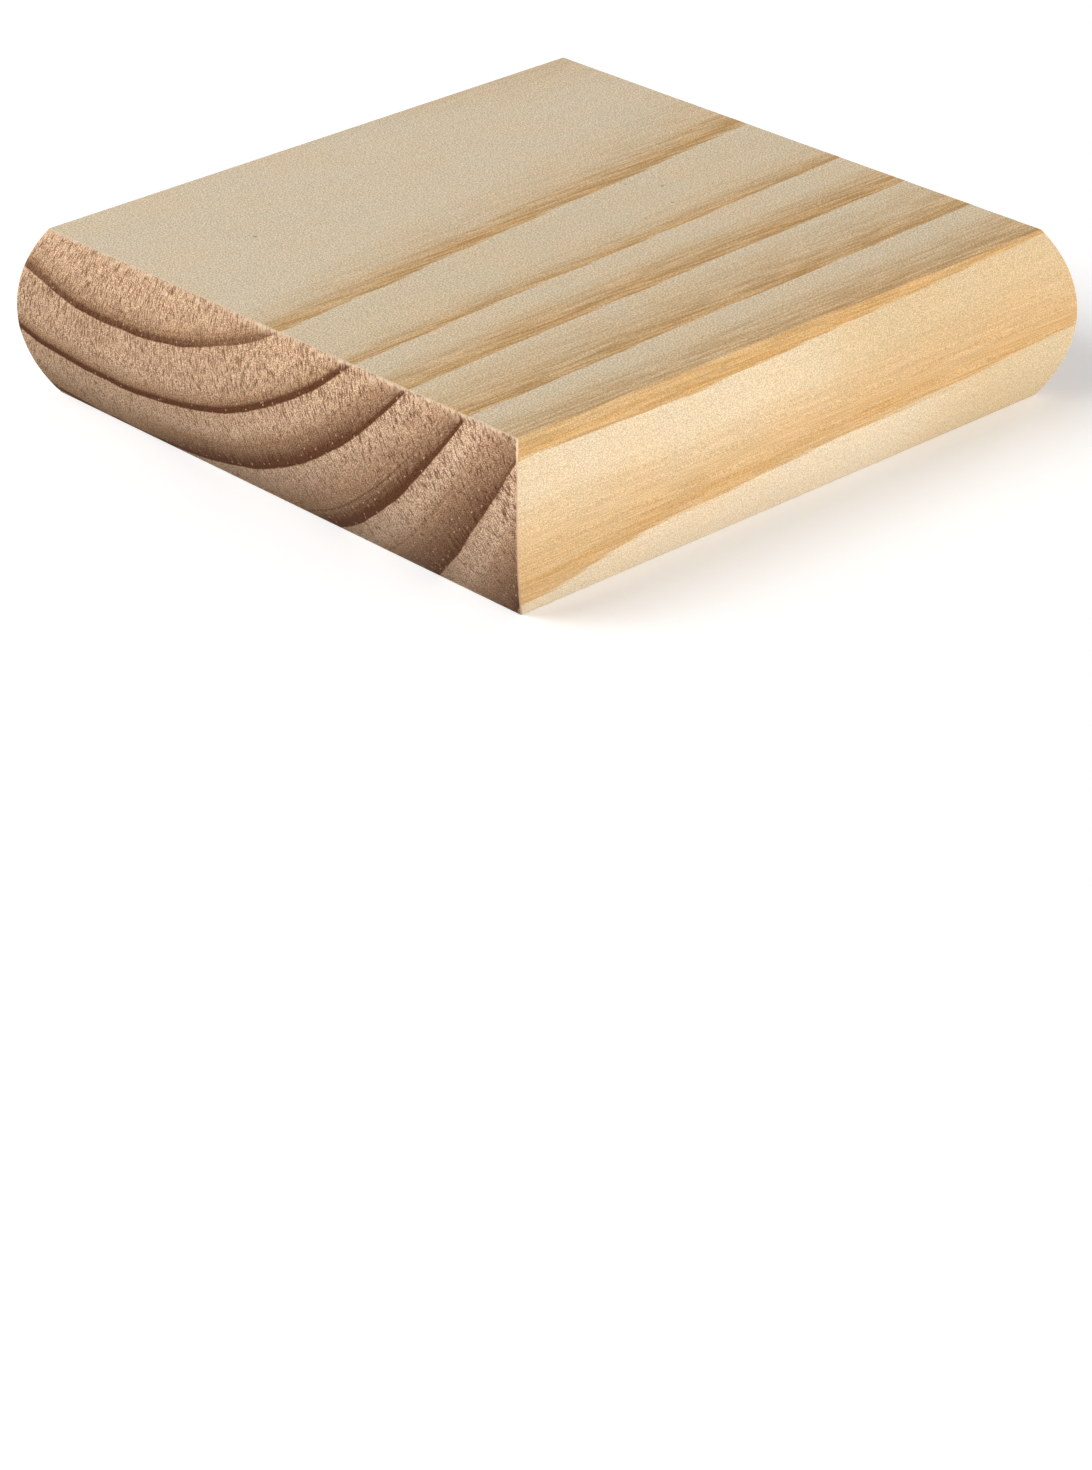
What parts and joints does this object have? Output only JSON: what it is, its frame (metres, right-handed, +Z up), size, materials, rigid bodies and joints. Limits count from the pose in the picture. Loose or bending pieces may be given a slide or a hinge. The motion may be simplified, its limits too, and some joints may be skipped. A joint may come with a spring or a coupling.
{
  "type": "newel post cap",
  "caption": "Flat square newel post cap in solid pine, with one shallow convex moulding round its edges and mitred corners; covers the top end of a stair newel post.",
  "frame": {"origin": "centre of the flat underside, where the cap sits on its post", "axes": "+Z up, out of the top face; X along the wood grain, so the end-grain edges face +X and -X and the long-grain edges face +Y and -Y"},
  "size_m": [0.11, 0.11, 0.026],
  "materials": {
    "pine": "planed and sanded bare softwood, no varnish"
  },
  "bodies": {
    "root": {"newel_cap": "pine"}
  },
  "joints": []
}
